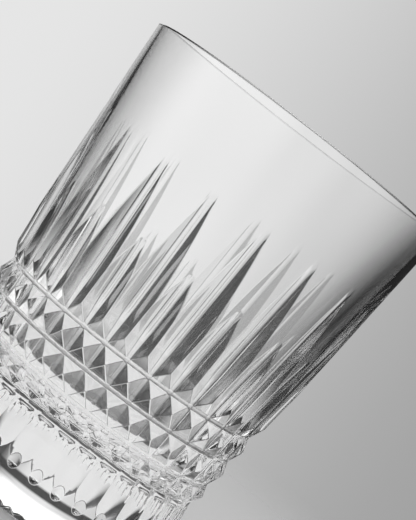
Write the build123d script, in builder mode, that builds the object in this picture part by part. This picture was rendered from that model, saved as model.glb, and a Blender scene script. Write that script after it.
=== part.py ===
from build123d import *
from math import atan, degrees, sin, sqrt
import os

# Cut-glass whiskey tumbler, one solid piece of lead crystal, in millimetres.
# +Z is up, and the origin is the centre of the foot, on the surface it stands on.
# A plain tapered blank is turned first, and every cut is then ground into it.

# ---- the blank ----
height = 114.0             # foot to rim
rim_radius = 44.0          # outside, at the rim
foot_cone_radius = 35.8    # where the outer cone would meet the table
rim_wall = 1.3             # glass thickness at the rim
rim_rounding = 0.45        # fire-polished edges of the rim
floor_height = 25.5        # inside floor, with the heavy sham below it
floor_wall = 5.4           # glass thickness of the side at the level of the floor
floor_corner_radius = 9.0

# ---- foot and underside ----
heel_height = 10.9         # the side rounds in towards the foot below this
heel_kink = 5.0            # degrees that it turns in where it starts
foot_inset = 2.4           # foot's outer edge inside the line of the cone
foot_ring_width = 2.4      # flat ring that the tumbler stands on
punty_depth = 1.5          # hollow ground inside the ring, deepest at its centre
star_ray_count = 36
star_ray_depth = 1.1
star_ray_middle = 17.0     # distance from the axis where a ray is deepest
star_ray_half_length = 11.5
star_slope = 0.62          # flank of a ray, rise over run

# ---- the cut pattern ----
flute_count = 36           # upright cuts around the glass, long and short in turn
cut_depth = 2.1            # valleys of the upright and ring cuts, below the cone
upright_slope = 0.43       # flank of an upright cut, rise over run
ring_slope = 0.41          # flank of a ring cut, rise over run
ring_count = 3
ring_pitch = 7.7
top_ring_height = 45.9
long_lance_length = 42.7   # tip of a long lance above the top ring cut
short_lance_length = 23.9
facet_drop = 7.9           # foot of the plain facets below the lowest ring cut
facet_height = 1.8
facet_depth = 2.1          # below the cone, at their foot
shoulder_slope = 0.6       # from the facets out to the last row's points
flare_slope = 0.175        # below the facets, out to the full width of the base
olive_height = 11.2        # middle of the small oval cuts on the heel
olive_half_width = 2.2     # of the egg-shaped body that is cut away
olive_half_height = 3.0
olive_depth = 0.7

# ---- worked out from the sizes above ----
overshoot = 4.0            # how far a cutter stands out of the glass
run_out = 1.3              # a lance's arc goes on past its tip by this factor
clearance = 0.15           # a ray's arc starts and ends this far outside the hollow
taper = (rim_radius - foot_cone_radius) / height
foot_radius = foot_cone_radius - foot_inset
flute_angle = 360 / flute_count


def cone_radius(z):
    """Outer radius of the uncut blank at height z."""
    return foot_cone_radius + taper * z


# ---- hollow of the bowl ----
bowl_floor_radius = cone_radius(floor_height) - floor_wall
bowl_rim_radius = rim_radius - rim_wall
bowl_taper = (bowl_rim_radius - bowl_floor_radius) / (height - floor_height)

with BuildPart() as bowl_hollow:
    with BuildSketch(Plane.XZ) as hollow_section:
        with BuildLine():
            Polyline(
                (0, floor_height),
                (bowl_floor_radius, floor_height),
                (bowl_rim_radius + bowl_taper * overshoot, height + overshoot),
                (0, height + overshoot),
                close=True,
            )
        make_face()
        floor_corner = hollow_section.vertices().sort_by(Axis.Y)[:2].sort_by(Axis.X)[-1:]
        fillet(floor_corner, radius=floor_corner_radius)
    revolve(axis=Axis.Z)


# ---- ring cuts: a V turned around the glass, one for each row ----
cut_reach = cut_depth + overshoot       # from a cut's valley to its open side
ring_half_width = cut_reach / ring_slope
ring_heights = [top_ring_height - ring_pitch * row for row in range(ring_count)]

with BuildPart() as ring_cutter:
    for ring_height in ring_heights:
        valley = cone_radius(ring_height) - cut_depth
        lean = taper * ring_half_width
        with BuildSketch(Plane.XZ):
            with BuildLine():
                Polyline(
                    (valley, ring_height),
                    (valley + cut_reach - lean, ring_height - ring_half_width),
                    (valley + cut_reach + lean, ring_height + ring_half_width),
                    close=True,
                )
            make_face()
        revolve(axis=Axis.Z)


# ---- upright facets, and the flare below them: a stack of many-sided slices ----
facet_foot_height = ring_heights[-1] - facet_drop
facet_top_height = facet_foot_height + facet_height
facet_distance = cone_radius(facet_foot_height) - facet_depth
shoulder_rise = (facet_depth + overshoot) / shoulder_slope
flare_fall = (facet_depth + overshoot) / (flare_slope + taper)
slices = [
    (facet_foot_height - flare_fall, facet_distance + flare_slope * flare_fall),
    (facet_foot_height, facet_distance),
    (facet_top_height, facet_distance),
    (facet_top_height + shoulder_rise, facet_distance + shoulder_slope * shoulder_rise),
]

with BuildPart() as faceted_core:
    for lower, upper in zip(slices, slices[1:]):
        for z, distance in (lower, upper):
            with BuildSketch(Plane.XY.offset(z)):
                RegularPolygon(
                    distance, flute_count, major_radius=False, rotation=flute_angle / 2
                )
        loft(ruled=True)

with BuildPart() as facet_cutter:
    with BuildSketch(Plane.XY.offset(facet_foot_height - flare_fall)):
        Circle(rim_radius + overshoot)
    extrude(amount=flare_fall + facet_height + shoulder_rise)
    add(faceted_core.part, mode=Mode.SUBTRACT)


# ---- upright cuts: straight down the band, then out along an arc to a point ----
upright_half_width = cut_reach / upright_slope
upright_foot_height = facet_foot_height + facet_height / 2


def lance_cutter(lance_length):
    """V-shaped body that one upright cut takes away, at the front of +X."""
    arc_length = lance_length * sqrt(1 + taper**2)
    turn = 2 * atan(cut_depth / arc_length)
    with BuildLine(Plane.XZ) as valley_line:
        band = Line(
            (cone_radius(upright_foot_height) - cut_depth, upright_foot_height),
            (cone_radius(top_ring_height) - cut_depth, top_ring_height),
        )
        JernArc(band @ 1, band % 1, arc_length / sin(turn), -degrees(turn) * run_out)
    foot_plane = Plane(
        origin=valley_line.line @ 0, x_dir=(0, 1, 0), z_dir=valley_line.line % 0
    )
    with BuildPart() as cutter:
        with BuildSketch(foot_plane):
            with BuildLine():
                Polyline(
                    (0, 0),
                    (upright_half_width, -cut_reach),
                    (-upright_half_width, -cut_reach),
                    close=True,
                )
            make_face()
        sweep(path=valley_line.line)
    return cutter.part


long_lance = lance_cutter(long_lance_length)
short_lance = lance_cutter(short_lance_length)


# ---- small oval cuts on the heel ----
olive_distance = cone_radius(heel_height) - olive_depth + olive_half_width

with BuildPart() as olive_cutter:
    with BuildSketch(Plane.XZ):
        with Locations((olive_distance, olive_height)):
            Ellipse(olive_half_width, olive_half_height)
            Rectangle(
                olive_half_width,
                2 * olive_half_height,
                align=(Align.MAX, Align.CENTER),
                mode=Mode.SUBTRACT,
            )
    revolve(axis=Axis((olive_distance, 0, 0), (0, 0, 1)))


# ---- hollow and star under the foot ----
punty_radius = foot_radius - foot_ring_width
dome_radius = (punty_radius**2 + punty_depth**2) / (2 * punty_depth)


def dome_height(r):
    """Height of the ground hollow above the table, at radius r."""
    return punty_depth - dome_radius + sqrt(dome_radius**2 - r**2)


with BuildPart() as punty_cutter:
    with BuildSketch(Plane.XZ):
        with BuildLine():
            TangentArc((0, punty_depth), (punty_radius, 0), tangent=(1, 0))
            Polyline(
                (punty_radius, 0), (punty_radius, -overshoot), (0, -overshoot), (0, punty_depth)
            )
        make_face()
    revolve(axis=Axis.Z)

ray_start = star_ray_middle - star_ray_half_length
ray_end = star_ray_middle + star_ray_half_length
ray_reach = star_ray_depth + overshoot
ray_half_width = ray_reach / star_slope

with BuildLine(Plane.XZ) as ray_line:
    ThreePointArc(
        (ray_start, dome_height(ray_start) - clearance),
        (star_ray_middle, dome_height(star_ray_middle) + star_ray_depth),
        (ray_end, dome_height(ray_end) - clearance),
    )

with BuildPart() as ray_cutter:
    with BuildSketch(
        Plane(origin=ray_line.line @ 0, x_dir=(0, 1, 0), z_dir=ray_line.line % 0)
    ):
        with BuildLine():
            Polyline(
                (0, 0), (ray_half_width, -ray_reach), (-ray_half_width, -ray_reach), close=True
            )
        make_face()
    sweep(path=ray_line.line)


# ---- the tumbler: turned blank, hollowed, then cut ----
with BuildPart() as tumbler_body:
    with BuildSketch(Plane.XZ):
        with BuildLine():
            side = Line((rim_radius, height), (cone_radius(heel_height), heel_height))
            heel_start = (side % 1).rotate(Axis.Z, -heel_kink)
            TangentArc(side @ 1, (foot_radius, 0), tangent=heel_start)
            Polyline((foot_radius, 0), (0, 0), (0, height), side @ 0)
        make_face()
    revolve(axis=Axis.Z)
    add(bowl_hollow.part, mode=Mode.SUBTRACT)
    rim_edges = tumbler_body.edges().filter_by(GeomType.CIRCLE).group_by(Axis.Z)[-1]
    fillet(rim_edges, radius=rim_rounding)
    add(punty_cutter.part, mode=Mode.SUBTRACT)
    with PolarLocations(0, star_ray_count):
        add(ray_cutter.part, mode=Mode.SUBTRACT)
    add(ring_cutter.part, mode=Mode.SUBTRACT)
    add(facet_cutter.part, mode=Mode.SUBTRACT)
    with PolarLocations(0, flute_count):
        add(olive_cutter.part, mode=Mode.SUBTRACT)
    with PolarLocations(0, flute_count // 2):
        add(short_lance, mode=Mode.SUBTRACT)
    with PolarLocations(0, flute_count // 2, start_angle=flute_angle):
        add(long_lance, mode=Mode.SUBTRACT)

tumbler_body.part.label = "tumbler_body"
os.makedirs("parts", exist_ok=True)
export_step(tumbler_body.part, "parts/tumbler_body.step")
print("tumbler_body volume", round(tumbler_body.part.volume), "mm3")
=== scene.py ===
from math import atan, cos, pi, radians, sin, sqrt, tan

import bpy
import numpy as np
from mathutils import Matrix, Vector
from mathutils.geometry import delaunay_2d_cdt


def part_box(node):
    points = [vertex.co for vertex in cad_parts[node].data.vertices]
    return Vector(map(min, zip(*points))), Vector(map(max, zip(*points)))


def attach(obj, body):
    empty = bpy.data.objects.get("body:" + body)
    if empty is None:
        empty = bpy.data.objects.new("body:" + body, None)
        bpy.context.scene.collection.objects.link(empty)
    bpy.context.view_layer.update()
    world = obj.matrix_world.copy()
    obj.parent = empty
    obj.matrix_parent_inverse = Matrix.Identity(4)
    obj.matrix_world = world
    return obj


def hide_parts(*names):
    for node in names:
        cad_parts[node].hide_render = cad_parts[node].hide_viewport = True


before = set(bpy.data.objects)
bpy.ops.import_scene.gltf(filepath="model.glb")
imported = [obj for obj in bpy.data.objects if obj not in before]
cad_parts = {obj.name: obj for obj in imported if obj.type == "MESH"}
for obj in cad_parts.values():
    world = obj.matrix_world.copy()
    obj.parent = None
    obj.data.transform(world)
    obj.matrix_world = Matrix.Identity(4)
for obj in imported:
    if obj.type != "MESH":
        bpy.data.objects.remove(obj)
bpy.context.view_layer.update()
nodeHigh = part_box("tumbler_body")[1]
mm = 0.001                               # sizes below are in millimetres


glassSize = {
    "height": nodeHigh.z / mm,
    "rimRadius": nodeHigh.x / mm,        # widest point, just under the rim's edge
    "taper": 0.0719,                     # radius lost for each mm down the side
    "rimWall": 1.3,
    "rimRounding": 0.6,
    "floorHeight": 25.5,
    "floorWall": 5.4,
    "floorCorner": 9.0,
    "heelHeight": 10.9,                  # the side rounds in towards the foot below this
    "heelKink": 5.0,                     # degrees that the heel turns in where it starts
    "footInset": 2.4,
    "footRing": 2.4,
    "footEdge": 0.35,
    "puntyDepth": 1.5,
    "rayDepth": 1.1,
    "rayMiddle": 17.0,
    "rayHalfLength": 11.5,
    "raySlope": 0.62,
    "rayBottom": 0.3,
    "starSoftness": 0.05,
}

cutPattern = {
    "flutes": 36,                        # long and short lances in turn
    "depth": 2.1,
    "uprightSlope": 0.43,
    "ringSlope": 0.41,
    "rings": 3,
    "ringPitch": 7.7,
    "topRing": 45.9,
    "longLance": 46.0,                   # tips above the top ring cut
    "shortLance": 25.8,
    "facetDrop": 7.9,
    "facetHeight": 1.8,
    "shoulderSlope": 0.6,
    "oliveHeight": 11.2,
    "oliveHalfWidth": 2.2,
    "oliveHalfHeight": 3.0,
    "oliveDepth": 0.7,
    "ridgeSoftness": 0.12,               # polish worn into the ridges
    "lanceSoftness": 0.14,               # and into the lances' edges on the plain side
    "bottomHalfWidth": 0.68,             # each V ends in a narrow flat-bottomed groove
    "lanceBottom": 1.1,                  # wider up in the lances
    "bottomEdgeSlope": 1.3,
    "bottomPower": 6,
    "widenFrom": 1.0,                    # lances' bottoms widen from here, above the top ring cut
    "widenOver": 9.0,
    "runOut": 1.3,                       # a lance's arc goes on past its tip by this factor
    "fluteStart": 0.32,                  # hollow flutes under the facets, below the facets' face
    "fluteSlope": 0.125,
    "fluteRound": 9.6,
    "fluteFade": 0.15,                   # polish worn into their lower edges
    "fluteSoftness": 0.05,
    "facetSoftness": 0.02,
    "shoulderSoftness": 0.05,
    "stepHeight": 0.3,                   # short step between the facets and the flutes
}

size, cut = glassSize, cutPattern
wedge = 2 * pi / cut["flutes"]           # from a long lance's middle to a short one's
footConeRadius = size["rimRadius"] - size["taper"] * (size["height"] - size["rimRounding"])
footRadius = footConeRadius - size["footInset"]
ringHeights = [cut["topRing"] - cut["ringPitch"] * row for row in range(cut["rings"])]
facetFoot = ringHeights[-1] - cut["facetDrop"]
facetTop = facetFoot + cut["facetHeight"]
stepTop = facetFoot + cut["stepHeight"]
uprightFoot = facetFoot + cut["facetHeight"] / 2
bandTop = cut["topRing"] + 6             # above this the lances stand clear of the pyramids
outOfReach = 100.0                       # radius where a cut takes nothing away


def softMin(a, b, softness):
    overlap = np.maximum(softness - np.abs(a - b), 0) / softness
    return np.minimum(a, b) - overlap * overlap * softness / 4


def softMax(a, b, softness):
    return -softMin(-a, -b, softness)


def grooveRise(x, slope, halfWidth=None):
    # height of a V cut's flank above its valley line, x to one side of it
    half = cut["bottomHalfWidth"] if halfWidth is None else halfWidth
    edge, power = cut["bottomEdgeSlope"], cut["bottomPower"]
    x = np.abs(x)
    bottom = slope * half - edge * half / power * (1 - (x / half) ** power)
    return np.where(x < half, bottom, slope * x)


def uprightBottom(z):
    # half width of an upright cut's flat bottom
    part = np.clip((z - cut["topRing"] - cut["widenFrom"]) / cut["widenOver"], 0, 1)
    part = part * part * (3 - 2 * part)
    return cut["bottomHalfWidth"] + (cut["lanceBottom"] - cut["bottomHalfWidth"]) * part


def coneRadius(z):
    return footConeRadius + size["taper"] * z


# the heel is an arc that leaves the side smoothly and ends at the foot
heelTop = np.array([coneRadius(size["heelHeight"]), size["heelHeight"]])
heelLean = atan(size["taper"]) + radians(size["heelKink"])
heelIn = np.array([-cos(heelLean), sin(heelLean)])
heelChord = np.array([footRadius, 0.0]) - heelTop
heelArc = heelChord @ heelChord / (2 * heelChord @ heelIn)
heelCentre = heelTop + heelIn * heelArc


def blankRadius(z):
    rise = np.minimum(z, size["heelHeight"]) - heelCentre[1]
    heel = heelCentre[0] + np.sqrt(np.maximum(heelArc ** 2 - rise ** 2, 0))
    return np.where(z < size["heelHeight"], heel, coneRadius(z))


def uprightCut(angle, z, length):
    slanted = length * sqrt(1 + size["taper"] ** 2)
    turn = 2 * atan(cut["depth"] / slanted)
    arc = slanted / sin(turn)
    along = np.clip((z - cut["topRing"]) * sqrt(1 + size["taper"] ** 2), 0, slanted * cut["runOut"])
    valley = coneRadius(z) - cut["depth"] + arc - np.sqrt(arc ** 2 - along ** 2)
    slope, half = cut["uprightSlope"], uprightBottom(z)
    side = valley * np.tan(np.abs(angle)) * (1 + slope * np.tan(np.abs(angle)))
    flank = valley / (np.cos(angle) - slope * np.sin(np.abs(angle)))
    bottom = (valley + grooveRise(side, slope, half)) / np.cos(angle)
    radius = np.where(side < half, bottom, flank)
    return np.where(z < uprightFoot, outOfReach, radius)


def ringCut(z, ringHeight):
    off = z - ringHeight
    valley = coneRadius(ringHeight) - cut["depth"] + size["taper"] * off
    return valley + grooveRise(off, cut["ringSlope"])


def facetCut(angle, z):
    distance = coneRadius(facetFoot) - cut["depth"]
    profile = softMax(distance + 0 * z, distance + cut["shoulderSlope"] * (z - facetTop),
                      cut["shoulderSoftness"])
    faces = softMin(profile / np.cos(angle), profile / np.cos(wedge - angle), cut["facetSoftness"])
    return np.where(z < facetFoot, outOfReach, faces)


def fluteCut(angle, z):
    # hollow ground with a round wheel, from the facets' foot out to the heel
    start = coneRadius(facetFoot) - cut["depth"] - cut["fluteStart"]
    bottom = start + cut["fluteSlope"] * (facetFoot - z)
    centre, reach = bottom + cut["fluteRound"], cut["fluteRound"]
    inside = np.maximum(reach ** 2 - (centre * np.sin(angle)) ** 2, 0)
    return np.where(z > stepTop, outOfReach, centre * np.cos(angle) - np.sqrt(inside))


def oliveCut(angle, z):
    wide, tall = cut["oliveHalfWidth"], cut["oliveHalfHeight"]
    centre = coneRadius(size["heelHeight"]) - cut["oliveDepth"] + wide
    spread = wide ** 2 * (1 - ((z - cut["oliveHeight"]) / tall) ** 2)
    reach = (centre * np.cos(angle)) ** 2 - centre ** 2 + spread
    near = centre * np.cos(angle) - np.sqrt(np.maximum(reach, 0))
    return np.where(reach > 0, near, outOfReach)


def longCut(angle, z):
    return uprightCut(angle, z, cut["longLance"])


def shortCut(angle, z):
    return uprightCut(wedge - angle, z, cut["shortLance"])


def outerRadius(angle, z):
    soft = cut["ridgeSoftness"]
    radius = softMin(longCut(angle, z), shortCut(angle, z), soft)
    for ringHeight in ringHeights:
        radius = softMin(radius, ringCut(z, ringHeight), soft)
    radius = softMin(radius, facetCut(angle, z), soft)
    flutes = softMin(fluteCut(angle, z), fluteCut(wedge - angle, z), cut["fluteSoftness"])
    flutes = softMin(flutes, blankRadius(z), cut["fluteFade"])
    step = np.clip((z - facetFoot) / cut["stepHeight"], 0, 1)
    onStep = (z < stepTop) & (z > facetFoot)
    radius = np.where(onStep, radius * step + flutes * (1 - step), softMin(radius, flutes, soft))
    radius = softMin(radius, blankRadius(z), cut["lanceSoftness"])
    for middle in (0, wedge):
        radius = softMin(radius, oliveCut(angle - middle, z), soft)
    return radius


def starHeight(angle, radius):
    punty = footRadius - size["footRing"]
    dome = (punty ** 2 + size["puntyDepth"] ** 2) / (2 * size["puntyDepth"])
    hollow = size["puntyDepth"] - dome + np.sqrt(dome ** 2 - radius ** 2)
    along = (radius - size["rayMiddle"]) / size["rayHalfLength"]
    valley = hollow + size["rayDepth"] * (1 - along ** 2)
    soft = size["starSoftness"]
    height = softMax(hollow, 0 * radius, soft)
    for middle in (0, wedge):
        side = radius * np.sin(np.abs(angle - middle))
        ray = valley - grooveRise(side, size["raySlope"], size["rayBottom"])
        height = softMax(height, ray, soft)
    return height


# creases: lines where one cut meets the next
def meeting(first, second, low, high, rising=True):
    # where first - second passes zero between low and high, or nan
    low, high = np.array(low, float), np.array(high, float)
    sign = 1 if rising else -1
    found = (sign * (first(low) - second(low)) < 0) & (sign * (first(high) - second(high)) > 0)
    for step in range(40):
        middle = (low + high) / 2
        below = sign * (first(middle) - second(middle)) < 0
        low, high = np.where(below, middle, low), np.where(below, high, middle)
    return np.where(found, (low + high) / 2, np.nan)


def spread(low, high, step):
    return np.linspace(low, high, max(2, int(round((high - low) / step)) + 1))


def outerCreases():
    soft = cut["ridgeSoftness"]
    lines = []
    ringTop = cut["topRing"]
    longTip, shortTip = ringTop + cut["longLance"], ringTop + cut["shortLance"]
    for shift in (-soft, 0, soft):
        # edges of the lances on the plain side, and the ridge where two lances meet
        worn = shift * cut["lanceSoftness"] / soft
        z = np.concatenate([spread(facetTop, bandTop, 0.7), spread(bandTop + 0.9, longTip - 1, 1.2),
                            spread(longTip - 0.7, longTip + 0.6, 0.2)])
        zShort = np.concatenate([z[z < shortTip - 1], spread(shortTip - 0.7, shortTip + 0.4, 0.2)])
        longEdge = meeting(lambda a: longCut(a, z), lambda a: blankRadius(z) + worn, 0 * z, 0 * z + wedge)
        shortEdge = meeting(lambda a: shortCut(a, zShort), lambda a: blankRadius(zShort) + worn,
                            0 * zShort, 0 * zShort + wedge, rising=False)
        ridge = meeting(lambda a: longCut(a, z), lambda a: shortCut(a, z) + shift, 0 * z, 0 * z + wedge)
        ridgeHeight = longCut(ridge, z)
        lines.append(np.stack([ridge, z], 1)[ridgeHeight < blankRadius(z) + soft])
        onSide = longEdge < ridge + 0.004
        lines.append(np.stack([longEdge, z], 1)[onSide | np.isnan(ridge) | (z > shortTip)])
        ridgeShort = np.interp(zShort, z, np.where(np.isnan(ridge), 0, ridge))
        lines.append(np.stack([shortEdge, zShort], 1)[shortEdge > ridgeShort - 0.004])

        # slanting ridges of the pyramids, up and down from each ring cut
        a = np.linspace(0, wedge, 11)

        def upright(z):
            return np.minimum(longCut(a, z), shortCut(a, z))

        reach = cut["ringPitch"] * 0.56
        for ringHeight in ringHeights:
            up = meeting(lambda z: ringCut(z, ringHeight), lambda z: upright(z) + shift,
                         0 * a + ringHeight, 0 * a + ringHeight + reach * 1.3)
            down = meeting(lambda z: ringCut(z, ringHeight), lambda z: upright(z) + shift,
                           0 * a + ringHeight - reach, 0 * a + ringHeight, rising=False)
            top = ringHeight + (reach * 1.3 if ringHeight == ringTop else cut["ringPitch"] / 2)
            lines.append(np.stack([a, np.minimum(up, top)], 1))
            lines.append(np.stack([a, np.maximum(down, ringHeight - cut["ringPitch"] / 2)], 1))

        # foot of the last row, where the facets' shoulder takes over
        lastRing = ringHeights[-1]
        shoulder = meeting(lambda z: facetCut(a, z),
                           lambda z: np.minimum(upright(z), ringCut(z, lastRing)) + shift,
                           0 * a + facetTop - 0.6, 0 * a + lastRing)
        lines.append(np.stack([a, shoulder], 1))

        # where the flutes run out on the blank, and the oval cuts on the heel
        flute = meeting(lambda z: fluteCut(a, z), lambda z: blankRadius(z) + shift,
                        0 * a + size["heelHeight"], 0 * a + facetFoot, rising=False)
        lines.append(np.stack([a, flute], 1))
        flute = meeting(lambda z: fluteCut(wedge - a, z), lambda z: blankRadius(z) + shift,
                        0 * a + size["heelHeight"], 0 * a + facetFoot, rising=False)
        lines.append(np.stack([a, flute], 1))
        around = np.linspace(-pi / 2, pi / 2, 13)
        for middle, side in ((0, 1), (wedge, -1)):
            def olivePoint(t):
                angle = side * t * np.cos(around) / heelTop[0]
                return angle, cut["oliveHeight"] + t * np.sin(around)

            def olive(t):
                return oliveCut(*olivePoint(t))

            def blank(t):
                return blankRadius(olivePoint(t)[1]) + shift

            edge = meeting(olive, blank, 0 * around, 0 * around + cut["oliveHalfHeight"] * 1.05)
            angle, z = olivePoint(edge)
            lines.append(np.stack([middle + angle, z], 1))

    # groove bottoms of the cuts
    for part in (0.6, 0.82, 0.95, 1.04):
        off = part * cut["bottomHalfWidth"]
        a = np.linspace(0, wedge, 8)
        for ringHeight in ringHeights:
            lines += [np.stack([a, 0 * a + ringHeight + off], 1), np.stack([a, 0 * a + ringHeight - off], 1)]
        for tip, fromShort in ((longTip, False), (shortTip, True)):
            z = spread(facetTop, tip, 2.0)
            a = part * uprightBottom(z) / (coneRadius(z) - cut["depth"])
            lines.append(np.stack([wedge - a if fromShort else a, z], 1))
    a = np.linspace(0, wedge, 11)
    lines += [np.stack([a, 0 * a + ringHeight], 1) for ringHeight in ringHeights]
    for z in (size["heelHeight"] - 0.03, size["heelHeight"] + 0.03, facetFoot,
              facetFoot + cut["stepHeight"] / 2, stepTop, facetTop - 0.04, facetTop, facetTop + 0.04):
        lines.append(np.stack([a, 0 * a + z], 1))
    z = spread(size["heelHeight"] + 3, facetTop, 1.0)
    for off in (-0.12, 0, 0.12):
        lines.append(np.stack([0 * z + wedge / 2 + off / footRadius, z], 1))
    return lines


def triangulate(lines, corners, fillSteps, edgeCounts, scale):
    # crease lines plus an even fill of points, as triangles that keep every crease
    (aLow, zLow), (aHigh, zHigh) = corners
    points, edges = [], []

    def addLine(line):
        line = line[~np.isnan(line).any(1)]
        line = line[(line[:, 1] > zLow) & (line[:, 1] < zHigh)]
        line = np.stack([np.clip(line[:, 0], aLow, aHigh), line[:, 1]], 1)
        start = len(points)
        points.extend((a * scale, z) for a, z in line)
        edges.extend((start + i, start + i + 1) for i in range(len(line) - 1)
                     if np.hypot((line[i + 1, 0] - line[i, 0]) * scale, line[i + 1, 1] - line[i, 1]) < 2.5)

    for line in lines:
        if len(line) > 1:
            addLine(line)
    taken = np.array(points)
    for stepA, stepZ, zFrom, zTo in fillSteps:
        for row, z in enumerate(spread(zFrom, zTo, stepZ)[:-1]):
            for a in spread(aLow, aHigh, stepA)[1:-1]:
                here = np.array([a * scale, z])
                if len(taken) == 0 or np.min(np.sum((taken - here) ** 2, 1)) > (0.45 * stepZ) ** 2:
                    points.append(tuple(here))
        for z in spread(zFrom, zTo, stepZ)[1:-1]:
            points.extend([(aLow * scale, z), (aHigh * scale, z)])
    for z, count in ((zLow, edgeCounts), (zHigh, edgeCounts)):
        points.extend((a * scale, z) for a in np.linspace(aLow, aHigh, count + 1))
    flat = [Vector(p) for p in points]
    flat, _, faces, _, _, _ = delaunay_2d_cdt(flat, edges, [], 0, 1e-5)
    flat = np.array([tuple(p) for p in flat])
    return flat[:, 0] / scale, flat[:, 1], [f for f in faces if len(f) == 3]


class Skin:
    # one wedge of the surface, from (angle, radius, height) points and their normals
    def __init__(self):
        self.points, self.normals, self.faces = [], [], []
        self.count = 0

    def add(self, angle, radius, z, normals, faces):
        x, y = radius * np.cos(angle), radius * np.sin(angle)
        normals = np.asarray(normals, float)
        normals = normals / np.linalg.norm(normals, axis=1)[:, None]
        points = np.stack([x, y, z + 0 * x], 1)
        out = np.stack([normals[:, 0] * np.cos(angle) - normals[:, 1] * np.sin(angle),
                        normals[:, 0] * np.sin(angle) + normals[:, 1] * np.cos(angle), normals[:, 2]], 1)
        faces = np.array(faces)
        a, b, c = points[faces[:, 0]], points[faces[:, 1]], points[faces[:, 2]]
        facing = np.sum(np.cross(b - a, c - a) * (out[faces[:, 0]] + out[faces[:, 1]] + out[faces[:, 2]]), 1)
        faces = np.where((facing < 0)[:, None], faces[:, ::-1], faces)
        self.faces.append(faces + self.count)
        self.count += len(points)
        self.points.append(points * mm)
        self.normals.append(normals)

    def addTurned(self, profile, normals, columns):
        # profile rows of (radius, z), swept through the wedge
        profile, normals = np.array(profile, float), np.array(normals, float)
        angle = np.tile(np.linspace(0, wedge, columns + 1), len(profile))
        radius, z = np.repeat(profile[:, 0], columns + 1), np.repeat(profile[:, 1], columns + 1)
        turned = np.zeros((len(angle), 3))
        turned[:, 0] = np.repeat(normals[:, 0], columns + 1)
        turned[:, 2] = np.repeat(normals[:, 1], columns + 1)
        faces = []
        for row in range(len(profile) - 1):
            for column in range(columns):
                a = row * (columns + 1) + column
                b = a + columns + 1
                if profile[row, 0] > 0:
                    faces.append((a, a + 1, b + 1) if profile[row + 1, 0] > 0 else (a, a + 1, b))
                if profile[row + 1, 0] > 0:
                    faces.append((a, b + 1, b))
        self.add(angle, radius, z, turned, faces)


def arcRows(centre, radius, start, end, steps, inward=False):
    turns = np.linspace(start, end, steps + 1)
    normals = np.stack([np.cos(turns), np.sin(turns)], 1)
    return np.array(centre) + radius * normals, -normals if inward else normals


columns = 5
skin = Skin()
rounding = size["rimRounding"]
outerLean, rimTop = atan(size["taper"]), size["height"]
sideTop = rimTop - rounding * (1 + sin(outerLean))
sideFoot = 0.5
plainFoot = 93                           # the plain side above the longest lances

creases = outerCreases()
fill = [(radians(2), 1.6, 1.5, size["heelHeight"]), (radians(1.25), 1.0, size["heelHeight"], facetTop),
        (radians(2), 1.5, facetTop, bandTop), (radians(2), 2.2, bandTop, plainFoot),
        (radians(2), 3.5, plainFoot, sideTop)]
angle, z, faces = triangulate(creases, ((0, sideFoot), (wedge, sideTop)), fill, columns, 38.0)
radius = outerRadius(angle, z)
step = 0.004
slopeAngle = (outerRadius(angle + step / radius, z) - outerRadius(angle - step / radius, z)) / (2 * step)
slopeZ = (outerRadius(angle, z + step) - outerRadius(angle, z - step)) / (2 * step)
skin.add(angle, radius, z, np.stack([np.ones_like(z), -slopeAngle, -slopeZ], 1), faces)
print("outside wedge:", len(z), "points,", len(faces), "faces")

# rim, bowl and its floor
bowlRim = size["rimRadius"] + size["taper"] * rounding - size["rimWall"]
bowlFloor = coneRadius(size["floorHeight"]) - size["floorWall"]
bowlTaper = (bowlRim - bowlFloor) / (rimTop - size["floorHeight"])
innerLean = atan(bowlTaper)
rimCentre = coneRadius(sideTop) - rounding * cos(outerLean)
lipCentre = bowlRim - bowlTaper * rounding + rounding / cos(innerLean)
corner = size["floorCorner"]
cornerHeight = size["floorHeight"] + corner
cornerCentre = bowlFloor + bowlTaper * corner - corner / cos(innerLean)
outerLip = arcRows((rimCentre, rimTop - rounding), rounding, -outerLean, pi / 2, 8)
innerLip = arcRows((lipCentre, rimTop - rounding), rounding, pi / 2, pi - innerLean, 8)
bowlCorner = arcRows((cornerCentre, cornerHeight), corner, -innerLean, -pi / 2, 14, inward=True)
wallTop, wallFoot = innerLip[0][-1], bowlCorner[0][0]
wallRows = wallTop + (wallFoot - wallTop) * np.linspace(0, 1, 16)[1:-1, None]
floorRows = [(cornerCentre * part, size["floorHeight"]) for part in (0.78, 0.56, 0.34, 0.14, 0)]
rows = np.concatenate([outerLip[0], innerLip[0], wallRows, bowlCorner[0], floorRows])
rowNormals = np.concatenate([outerLip[1], innerLip[1], np.tile(innerLip[1][-1], (len(wallRows), 1)),
                             bowlCorner[1], np.tile((0, 1), (len(floorRows), 1))])
skin.addTurned(rows, rowNormals, columns)

# foot's rounded edge, then the hollow with its star
edge = size["footEdge"]
start, middle, end = np.array([(blankRadius(sideFoot), sideFoot), (footRadius, 0),
                               (footRadius - edge, 0)], float)
part = np.linspace(0, 1, 6)[:, None]
curve = start * (1 - part) ** 2 + middle * 2 * part * (1 - part) + end * part ** 2
along = (middle - start) * (1 - part) + (end - middle) * part
skin.addTurned(curve, np.stack([-along[:, 1], along[:, 0]], 1), columns)

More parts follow.
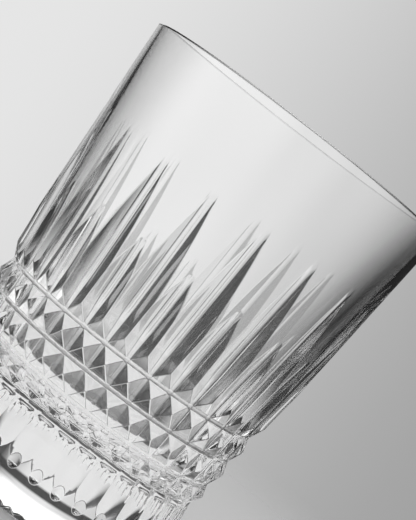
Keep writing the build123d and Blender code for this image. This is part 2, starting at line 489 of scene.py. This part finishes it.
starFoot, starTop = 4.0, footRadius - edge
r = np.concatenate([spread(starFoot, 8, 0.7), spread(8.9, 27, 1.1), spread(27.4, 31.6, 0.4)])
starLines = []
for soft in (-size["starSoftness"], 0, size["starSoftness"]):
    def rayAt(a):
        along = (r - size["rayMiddle"]) / size["rayHalfLength"]
        rise = grooveRise(r * np.sin(a), size["raySlope"], size["rayBottom"])
        return size["rayDepth"] * (1 - along ** 2) - rise

    rayEdge = meeting(lambda a: -rayAt(a), lambda a: soft + 0 * a, 0 * r, 0 * r + wedge / 2)
    starLines += [np.stack([rayEdge, r], 1), np.stack([wedge - rayEdge, r], 1)]
    starLines.append(np.stack([wedge / 2 + soft / r, r], 1))
lip = footRadius - size["footRing"]
starLines += [np.stack([np.linspace(0, wedge, 6), np.full(6, lip + off)], 1) for off in (-0.5, 0, 0.5)]
for part in (0.5, 0.96, 1.04):
    bottom = size["rayBottom"] * part / r
    starLines += [np.stack([bottom, r], 1), np.stack([wedge - bottom, r], 1)]
fill = [(radians(2.5), 1.6, starFoot, starTop)]
angle, r, faces = triangulate(starLines, ((0, starFoot), (wedge, starTop)), fill, columns, 20.0)
z = starHeight(angle, r)
slopeAngle = (starHeight(angle + step / r, r) - starHeight(angle - step / r, r)) / (2 * step)
slopeR = (starHeight(angle, r + step) - starHeight(angle, r - step)) / (2 * step)
skin.add(angle, r, z, np.stack([slopeR, slopeAngle, -np.ones_like(z)], 1), faces)
print("underside wedge:", len(z), "points,", len(faces), "faces")
rows = np.array([(starFoot, 0), (2, 0), (0, 0)], float)
rows[:, 1] = starHeight(0 * rows[:, 0] + wedge / 2, rows[:, 0])
domeSlope = (starHeight(wedge / 2, rows[:, 0] + step) - rows[:, 1]) / step
skin.addTurned(rows, np.stack([domeSlope, -np.ones(3)], 1), columns)

wedgeMesh = bpy.data.meshes.new("tumblerWedge")
wedgeMesh.from_pydata(np.concatenate(skin.points).tolist(), [], np.concatenate(skin.faces).tolist())
shade = wedgeMesh.attributes.new("cutNormal", "FLOAT_VECTOR", "POINT")
shade.data.foreach_set("vector", np.concatenate(skin.normals).ravel())


def addNode(tree, kind, **settings):
    node = tree.nodes.new(kind)
    for name, value in settings.items():
        setattr(node, name, value)
    return node


def setInputs(node, **values):
    for name, value in values.items():
        node.inputs[name.replace("_", " ")].default_value = value
    return node


def mathNode(tree, kind, *inputs):
    node = addNode(tree, "ShaderNodeMath", operation=kind)
    for socket, value in zip(node.inputs, inputs):
        if isinstance(value, (int, float)):
            socket.default_value = value
        else:
            tree.links.new(value, socket)
    return node.outputs[0]


def rampNode(tree, value, start, end, first=0.0, last=1.0):
    node = addNode(tree, "ShaderNodeMapRange", interpolation_type="SMOOTHSTEP")
    setInputs(node, From_Min=start, From_Max=end, To_Min=first, To_Max=last)
    tree.links.new(value, node.inputs["Value"])
    return node.outputs[0]


def mixNode(tree, factor, first, second):
    node = addNode(tree, "ShaderNodeMix", data_type="FLOAT")
    tree.links.new(factor, node.inputs["Factor"])
    for name, value in (("A", first), ("B", second)):
        if isinstance(value, (int, float)):
            node.inputs[name].default_value = value
        else:
            tree.links.new(value, node.inputs[name])
    return node.outputs["Result"]


def roundTree():
    tree = bpy.data.node_groups.new("cutAllRound", "GeometryNodeTree")
    face = tree.interface
    face.new_socket("Geometry", in_out="INPUT", socket_type="NodeSocketGeometry")
    face.new_socket("Lance Pairs", in_out="INPUT", socket_type="NodeSocketInt")
    face.new_socket("Start Turn", in_out="INPUT", socket_type="NodeSocketFloat")
    face.new_socket("Glass", in_out="INPUT", socket_type="NodeSocketMaterial")
    face.new_socket("Geometry", in_out="OUTPUT", socket_type="NodeSocketGeometry")
    given = addNode(tree, "NodeGroupInput")
    made = addNode(tree, "NodeGroupOutput")
    link = tree.links.new

    # the other half of each lance is the mirror image of the first
    flip = setInputs(addNode(tree, "GeometryNodeTransform"), Scale=(1, -1, 1))
    link(given.outputs["Geometry"], flip.inputs["Geometry"])
    turnFaces = addNode(tree, "GeometryNodeFlipFaces")
    link(flip.outputs[0], turnFaces.inputs[0])
    normal = addNode(tree, "GeometryNodeInputNamedAttribute", data_type="FLOAT_VECTOR")
    normal.inputs["Name"].default_value = "cutNormal"
    mirrored = addNode(tree, "ShaderNodeVectorMath", operation="MULTIPLY")
    mirrored.inputs[1].default_value = (1, -1, 1)
    link(normal.outputs["Attribute"], mirrored.inputs[0])
    store = addNode(tree, "GeometryNodeStoreNamedAttribute", data_type="FLOAT_VECTOR", domain="POINT")
    store.inputs["Name"].default_value = "cutNormal"
    link(turnFaces.outputs[0], store.inputs["Geometry"])
    link(mirrored.outputs[0], store.inputs["Value"])
    both = addNode(tree, "GeometryNodeJoinGeometry")
    link(given.outputs["Geometry"], both.inputs[0])
    link(store.outputs[0], both.inputs[0])

    # one copy for each pair, turned about the axis
    points = addNode(tree, "GeometryNodePoints")
    link(given.outputs["Lance Pairs"], points.inputs["Count"])
    index = addNode(tree, "GeometryNodeInputIndex")
    part = addNode(tree, "ShaderNodeMath", operation="DIVIDE")
    link(index.outputs[0], part.inputs[0])
    link(given.outputs["Lance Pairs"], part.inputs[1])
    turn = addNode(tree, "ShaderNodeMath", operation="MULTIPLY_ADD")
    turn.inputs[1].default_value = 2 * pi
    link(part.outputs[0], turn.inputs[0])
    link(given.outputs["Start Turn"], turn.inputs[2])
    rotation = addNode(tree, "ShaderNodeCombineXYZ")
    link(turn.outputs[0], rotation.inputs["Z"])
    copies = addNode(tree, "GeometryNodeInstanceOnPoints")
    link(points.outputs[0], copies.inputs["Points"])
    link(both.outputs[0], copies.inputs["Instance"])
    link(rotation.outputs[0], copies.inputs["Rotation"])
    real = addNode(tree, "GeometryNodeRealizeInstances")
    link(copies.outputs[0], real.inputs[0])
    weld = addNode(tree, "GeometryNodeMergeByDistance")
    weld.inputs["Distance"].default_value = 2e-6
    link(real.outputs[0], weld.inputs["Geometry"])
    paint = addNode(tree, "GeometryNodeSetMaterial")
    link(weld.outputs[0], paint.inputs["Geometry"])
    link(given.outputs["Glass"], paint.inputs["Material"])
    link(paint.outputs[0], made.inputs[0])
    return tree


crystalLook = {
    "tint": (0.99, 0.99, 0.99, 1),
    "ior": 1.545,
    "roughness": 0.0,
    "farLancesClear": 0.55,              # how faint the far wall is, seen through the near one
    "farCutsClear": 0.85,
    "farRoughness": 0.04,
}
crystal = bpy.data.materials.new("crystal")
crystal.use_nodes = True
glass = crystal.node_tree.nodes["Principled BSDF"]
setInputs(glass, Base_Color=crystalLook["tint"], IOR=crystalLook["ior"], Roughness=crystalLook["roughness"],
          Transmission_Weight=1.0)

# A path that has come out of the near wall meets the far wall as part clear, part softened glass.
# The depth is odd inside the glass, so a path always leaves a wall the way it entered it.
crystalTree = crystal.node_tree
link = crystalTree.links.new
passed = addNode(crystalTree, "ShaderNodeLightPath").outputs["Transmission Depth"]
leaving = addNode(crystalTree, "ShaderNodeNewGeometry").outputs["Backfacing"]
place = addNode(crystalTree, "ShaderNodeSeparateXYZ")
link(addNode(crystalTree, "ShaderNodeTexCoord").outputs["Object"], place.inputs[0])
faint = rampNode(crystalTree, place.outputs["Z"], cut["topRing"] * mm, bandTop * mm,
                 crystalLook["farCutsClear"], crystalLook["farLancesClear"])
pastOneWall = mathNode(crystalTree, "GREATER_THAN", passed, 1.5)
pastTwoWalls = mathNode(crystalTree, "GREATER_THAN", passed, 3.5)
atFarWall = mathNode(crystalTree, "MULTIPLY", pastOneWall, faint)
entering = mathNode(crystalTree, "MAXIMUM", atFarWall, pastTwoWalls)
inAir = mathNode(crystalTree, "SUBTRACT", 1.0, mathNode(crystalTree, "MODULO", passed, 2.0))
clearPart = mixNode(crystalTree, leaving, entering, inAir)
clear = addNode(crystalTree, "ShaderNodeBsdfTransparent")
farGlass = setInputs(addNode(crystalTree, "ShaderNodeBsdfGlass"), IOR=crystalLook["ior"],
                     Roughness=crystalLook["farRoughness"])
nearOrFar = addNode(crystalTree, "ShaderNodeMixShader")
link(pastOneWall, nearOrFar.inputs["Fac"])
link(glass.outputs["BSDF"], nearOrFar.inputs[1])
link(farGlass.outputs["BSDF"], nearOrFar.inputs[2])
blend = addNode(crystalTree, "ShaderNodeMixShader")
link(clearPart, blend.inputs["Fac"])
link(nearOrFar.outputs[0], blend.inputs[1])
link(clear.outputs["BSDF"], blend.inputs[2])
link(blend.outputs[0], crystalTree.nodes["Material Output"].inputs["Surface"])
print("crystal ready")

modelled = bpy.data.objects.new("tumblerWedge", wedgeMesh)
bpy.context.scene.collection.objects.link(modelled)
repeat = modelled.modifiers.new("cutAllRound", "NODES")
repeat.node_group = roundTree()
sockets = {item.name: item.identifier for item in repeat.node_group.interface.items_tree
           if item.item_type == "SOCKET" and item.in_out == "INPUT"}
repeat[sockets["Lance Pairs"]] = cut["flutes"] // 2
repeat[sockets["Start Turn"]] = wedge
repeat[sockets["Glass"]] = crystal
tumblerMesh = bpy.data.meshes.new_from_object(modelled.evaluated_get(bpy.context.evaluated_depsgraph_get()))
bpy.data.objects.remove(modelled)
tumblerMesh.name = "tumbler"
tumbler = bpy.data.objects.new("tumbler", tumblerMesh)
bpy.context.scene.collection.objects.link(tumbler)

# ground surfaces keep their worked-out normals
where = np.empty(len(tumblerMesh.vertices) * 3)
tumblerMesh.vertices.foreach_get("co", where)
where = where.reshape(-1, 3)
turned = np.empty(len(tumblerMesh.vertices) * 3)
tumblerMesh.attributes["cutNormal"].data.foreach_get("vector", turned)
turned = turned.reshape(-1, 3)
across = np.hypot(where[:, 0], where[:, 1])
ux = np.where(across > 1e-6, where[:, 0] / np.maximum(across, 1e-9), 0)
uy = np.where(across > 1e-6, where[:, 1] / np.maximum(across, 1e-9), 0)
normals = np.stack([turned[:, 0] * ux - turned[:, 1] * uy, turned[:, 0] * uy + turned[:, 1] * ux,
                    turned[:, 2]], 1)
normals /= np.linalg.norm(normals, axis=1)[:, None]
tumblerMesh.attributes.remove(tumblerMesh.attributes["cutNormal"])
tumblerMesh.polygons.foreach_set("use_smooth", np.ones(len(tumblerMesh.polygons), bool))
tumblerMesh.normals_split_custom_set_from_vertices(normals.tolist())
tumblerMesh.update()
print("tumbler:", len(tumblerMesh.vertices), "points,", len(tumblerMesh.polygons), "faces")
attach(tumbler, "root")
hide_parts("tumbler_body")


studio = {
    "turn": 8.53,                        # camera's place round the glass, degrees from the front
    "surround": 0.01,
    "floorLight": 0.75,                  # even light on the table
}
# Backdrop's brightness at some azimuths: as it is seen directly, and as glass gathers it.
backdropSeen = ((-180, 0.62), (-60, 0.7), (-9, 0.79), (11, 0.36), (60, 0.6), (180, 0.62))
backdropThrough = ((-60, 0.0), (-29, 0.01), (-24, 0.6), (-12, 0.7), (-7, 0.83), (1, 0.77), (6, 0.5),
                   (10, 0.03), (60, 0.0))
# each one: azimuth, half width, side softness, elevation, half height, softness, brightness
backdropBand = (0, 179, 2, 1, 13, 4)         # takes its brightness from the backdrop
darkStrip = (0, 30, 8, 5.0, 1.1, 0.4, 0.97)  # hangs across the backdrop, above eye level
panels = {
    "backdropFoot": (-2, 6, 4, -30, 14, 4, 0.8),
    "backdropHigh": (-5, 14, 6, 11, 4, 1.5, 1.3),
    "leftOfCamera": (-137, 46, 20, -6, 8, 5, 1.7),
    "behindCamera": (172, 38, 20, 0, 13, 5, 0.8),
    "rightOfCamera": (112, 22, 20, -6, 9, 5, 1.0),
    "aside": (180, 95, 12, -18, 16, 4, 0.5),
    "top": (0, 181, 5, 88, 20, 8, 2.6),
    "topBehind": (180, 100, 20, 55, 14, 8, 0.5),
    "low": (0, 181, 5, -74, 22, 6, 0.2),
}


def panelTree():
    tree = bpy.data.node_groups.new("softPanel", "ShaderNodeTree")
    face = tree.interface
    for name in ("Azimuth", "Elevation", "Middle", "Half Width", "Side Softness", "Height", "Half Height",
                 "Softness", "Bright"):
        face.new_socket(name, in_out="INPUT", socket_type="NodeSocketFloat")
    face.new_socket("Light", in_out="OUTPUT", socket_type="NodeSocketFloat")
    given, made = addNode(tree, "NodeGroupInput").outputs, addNode(tree, "NodeGroupOutput").inputs

    def inside(value, middle, half, soft):
        off = mathNode(tree, "WRAP", mathNode(tree, "SUBTRACT", value, middle), 180.0, -180.0)
        past = mathNode(tree, "SUBTRACT", mathNode(tree, "ABSOLUTE", off), half)
        edge = addNode(tree, "ShaderNodeMapRange", interpolation_type="SMOOTHSTEP")
        setInputs(edge, To_Min=1.0, To_Max=0.0)
        tree.links.new(past, edge.inputs["Value"])
        tree.links.new(mathNode(tree, "MULTIPLY", soft, -1.0), edge.inputs["From Min"])
        tree.links.new(soft, edge.inputs["From Max"])
        return edge.outputs[0]

    wide = inside(given["Azimuth"], given["Middle"], given["Half Width"], given["Side Softness"])
    tall = inside(given["Elevation"], given["Height"], given["Half Height"], given["Softness"])
    shape = mathNode(tree, "MULTIPLY", wide, tall)
    tree.links.new(mathNode(tree, "MULTIPLY", shape, given["Bright"]), made[0])
    return tree


world = bpy.data.worlds.new("studio")
bpy.context.scene.world = world
world.use_nodes = True
air = world.node_tree
air.nodes.clear()
link = air.links.new
looking = addNode(air, "ShaderNodeTexCoord")
turnBack = addNode(air, "ShaderNodeVectorRotate", rotation_type="Z_AXIS")
turnBack.inputs["Angle"].default_value = -radians(studio["turn"])
link(looking.outputs["Generated"], turnBack.inputs["Vector"])
parts = addNode(air, "ShaderNodeSeparateXYZ")
link(turnBack.outputs[0], parts.inputs[0])
azimuth = mathNode(air, "DEGREES", mathNode(air, "ARCTAN2", parts.outputs["X"], parts.outputs["Y"]))
elevation = mathNode(air, "DEGREES", mathNode(air, "ARCSINE", parts.outputs["Z"]))
turnPart = mathNode(air, "MULTIPLY_ADD", azimuth, 1 / 360, 0.5)


def toneRamp(stops):
    ramp = addNode(air, "ShaderNodeValToRGB")
    ramp.color_ramp.interpolation = "EASE"
    marks = ramp.color_ramp.elements
    while len(marks) < len(stops):
        marks.new(0.5)
    for mark, (degrees, tone) in zip(marks, stops):
        mark.position = degrees / 360 + 0.5
        mark.color = (tone, tone, tone, 1)
    link(turnPart, ramp.inputs["Fac"])
    return ramp.outputs["Color"]


softPanel = panelTree()


def addPanel(middle, halfWidth, sideSoftness, height, halfHeight, softness, bright):
    node = addNode(air, "ShaderNodeGroup", node_tree=softPanel)
    link(azimuth, node.inputs["Azimuth"])
    link(elevation, node.inputs["Elevation"])
    setInputs(node, Middle=middle, Half_Width=halfWidth, Side_Softness=sideSoftness, Height=height,
              Half_Height=halfHeight, Softness=softness)
    if isinstance(bright, (int, float)):
        node.inputs["Bright"].default_value = bright
    else:
        link(bright, node.inputs["Bright"])
    return node.outputs[0]


light = addPanel(*backdropBand, toneRamp(backdropThrough))
lit = mathNode(air, "SUBTRACT", 1.0, addPanel(*darkStrip))
light = mathNode(air, "MAXIMUM", mathNode(air, "MULTIPLY", light, lit), studio["surround"])
for panel in panels.values():
    light = mathNode(air, "MAXIMUM", light, addPanel(*panel))
ray = addNode(air, "ShaderNodeLightPath")
light = mixNode(air, ray.outputs["Is Diffuse Ray"], light, studio["floorLight"])
light = mixNode(air, ray.outputs["Is Camera Ray"], light, toneRamp(backdropSeen))
shine = addNode(air, "ShaderNodeBackground")
grey = addNode(air, "ShaderNodeCombineColor")
for channel in ("Red", "Green", "Blue"):
    link(light, grey.inputs[channel])
link(grey.outputs[0], shine.inputs["Color"])
sky = addNode(air, "ShaderNodeOutputWorld")
link(shine.outputs[0], sky.inputs["Surface"])

# Pale table that fades out into the backdrop. Seen directly it is plain. What the glass shows
# of it is painted light, a brighter tone, with painted shade, a dark patch behind the glass for the cuts to
# pick up.
tableLook = {
    "radius": 0.6,
    "sides": 96,
    "tone": 0.6,
    # painted light and painted shade: the brighter tone and the dark patch that only the glass shows
    "paintedLightInGlass": 0.92,
    "paintedShadeInGlass": 0.02,
    "patchMiddle": 0.25,
    "patchHalfDepth": 0.11,
    "patchHalfWidth": 0.14,
    "patchFade": 0.02,
    "patchSideFade": 0.08,
    "fadeStart": 0.08,
    "fadeEnd": 0.5,
}
turns = np.linspace(0, 2 * pi, tableLook["sides"], endpoint=False)
floorMesh = bpy.data.meshes.new("table")
floorMesh.from_pydata([(tableLook["radius"] * cos(turn), tableLook["radius"] * sin(turn), -0.0001)
                       for turn in turns], [], [tuple(range(len(turns)))])
table = bpy.data.objects.new("table", floorMesh)
bpy.context.scene.collection.objects.link(table)
paper = bpy.data.materials.new("paper")
paper.use_nodes = True
paperTree = paper.node_tree
link = paperTree.links.new
sheet = setInputs(paperTree.nodes["Principled BSDF"], Roughness=0.9, Specular_IOR_Level=0.2)
place = addNode(paperTree, "ShaderNodeTexCoord")
turnBack = addNode(paperTree, "ShaderNodeVectorRotate", rotation_type="Z_AXIS")
turnBack.inputs["Angle"].default_value = -radians(studio["turn"])
link(place.outputs["Object"], turnBack.inputs["Vector"])
spot = addNode(paperTree, "ShaderNodeSeparateXYZ")
link(turnBack.outputs[0], spot.inputs[0])
halfDepth, halfWidth = tableLook["patchHalfDepth"], tableLook["patchHalfWidth"]
offMiddle = mathNode(paperTree, "SUBTRACT", spot.outputs["Y"], tableLook["patchMiddle"])
offMiddle = mathNode(paperTree, "ABSOLUTE", offMiddle)
deep = rampNode(paperTree, offMiddle, halfDepth, halfDepth + tableLook["patchFade"], 1.0, 0.0)
offSide = mathNode(paperTree, "ABSOLUTE", spot.outputs["X"])
wide = rampNode(paperTree, offSide, halfWidth, halfWidth + tableLook["patchSideFade"], 1.0, 0.0)
paintedShadeMask = mathNode(paperTree, "MULTIPLY", deep, wide)
# painted light and painted shade in the table's colour, for rays that come through the glass
paintedToneInGlass = mixNode(paperTree, paintedShadeMask, tableLook["paintedLightInGlass"], tableLook["paintedShadeInGlass"])
seenBy = addNode(paperTree, "ShaderNodeLightPath")
tone = mixNode(paperTree, seenBy.outputs["Is Camera Ray"], paintedToneInGlass, tableLook["tone"])
link(tone, sheet.inputs["Base Color"])
far = addNode(paperTree, "ShaderNodeVectorMath", operation="LENGTH")
link(place.outputs["Object"], far.inputs[0])
link(rampNode(paperTree, far.outputs["Value"], tableLook["fadeStart"], tableLook["fadeEnd"], 1.0, 0.0),
     sheet.inputs["Alpha"])
floorMesh.materials.append(paper)
print("table and studio light ready")


lens = {
    "distance": 479.78,                  # from the glass's axis, and above the table
    "height": 87.73,
    "focal": 132.7,
    "yaw": 0.0036,                       # radians
    "pitch": -0.0270,
    "roll": 0.6597,
}
yaw, pitch, roll = lens["yaw"], lens["pitch"], lens["roll"]
ahead = Vector((sin(yaw) * cos(pitch), cos(yaw) * cos(pitch), sin(pitch)))
right = ahead.cross(Vector((0, 0, 1))).normalized()
up = right.cross(ahead)
imageRight = right * cos(roll) + up * sin(roll)
imageUp = up * cos(roll) - right * sin(roll)
rig = Matrix((imageRight, imageUp, -ahead)).transposed().to_4x4()
rig.translation = Vector((0, -lens["distance"], lens["height"])) * mm
cameraData = bpy.data.cameras.new("camera")
cameraData.lens = lens["focal"]
cameraData.clip_start, cameraData.clip_end = 0.01, 20
camera = bpy.data.objects.new("camera", cameraData)
bpy.context.scene.collection.objects.link(camera)
camera.matrix_world = Matrix.Rotation(radians(studio["turn"]), 4, "Z") @ rig
bpy.context.scene.camera = camera

scene = bpy.context.scene
scene.view_settings.view_transform = "Standard"
scene.cycles.max_bounces = 32
scene.cycles.transmission_bounces = 32
scene.cycles.glossy_bounces = 16
scene.cycles.diffuse_bounces = 3
scene.cycles.transparent_max_bounces = 16

print("scene ready")
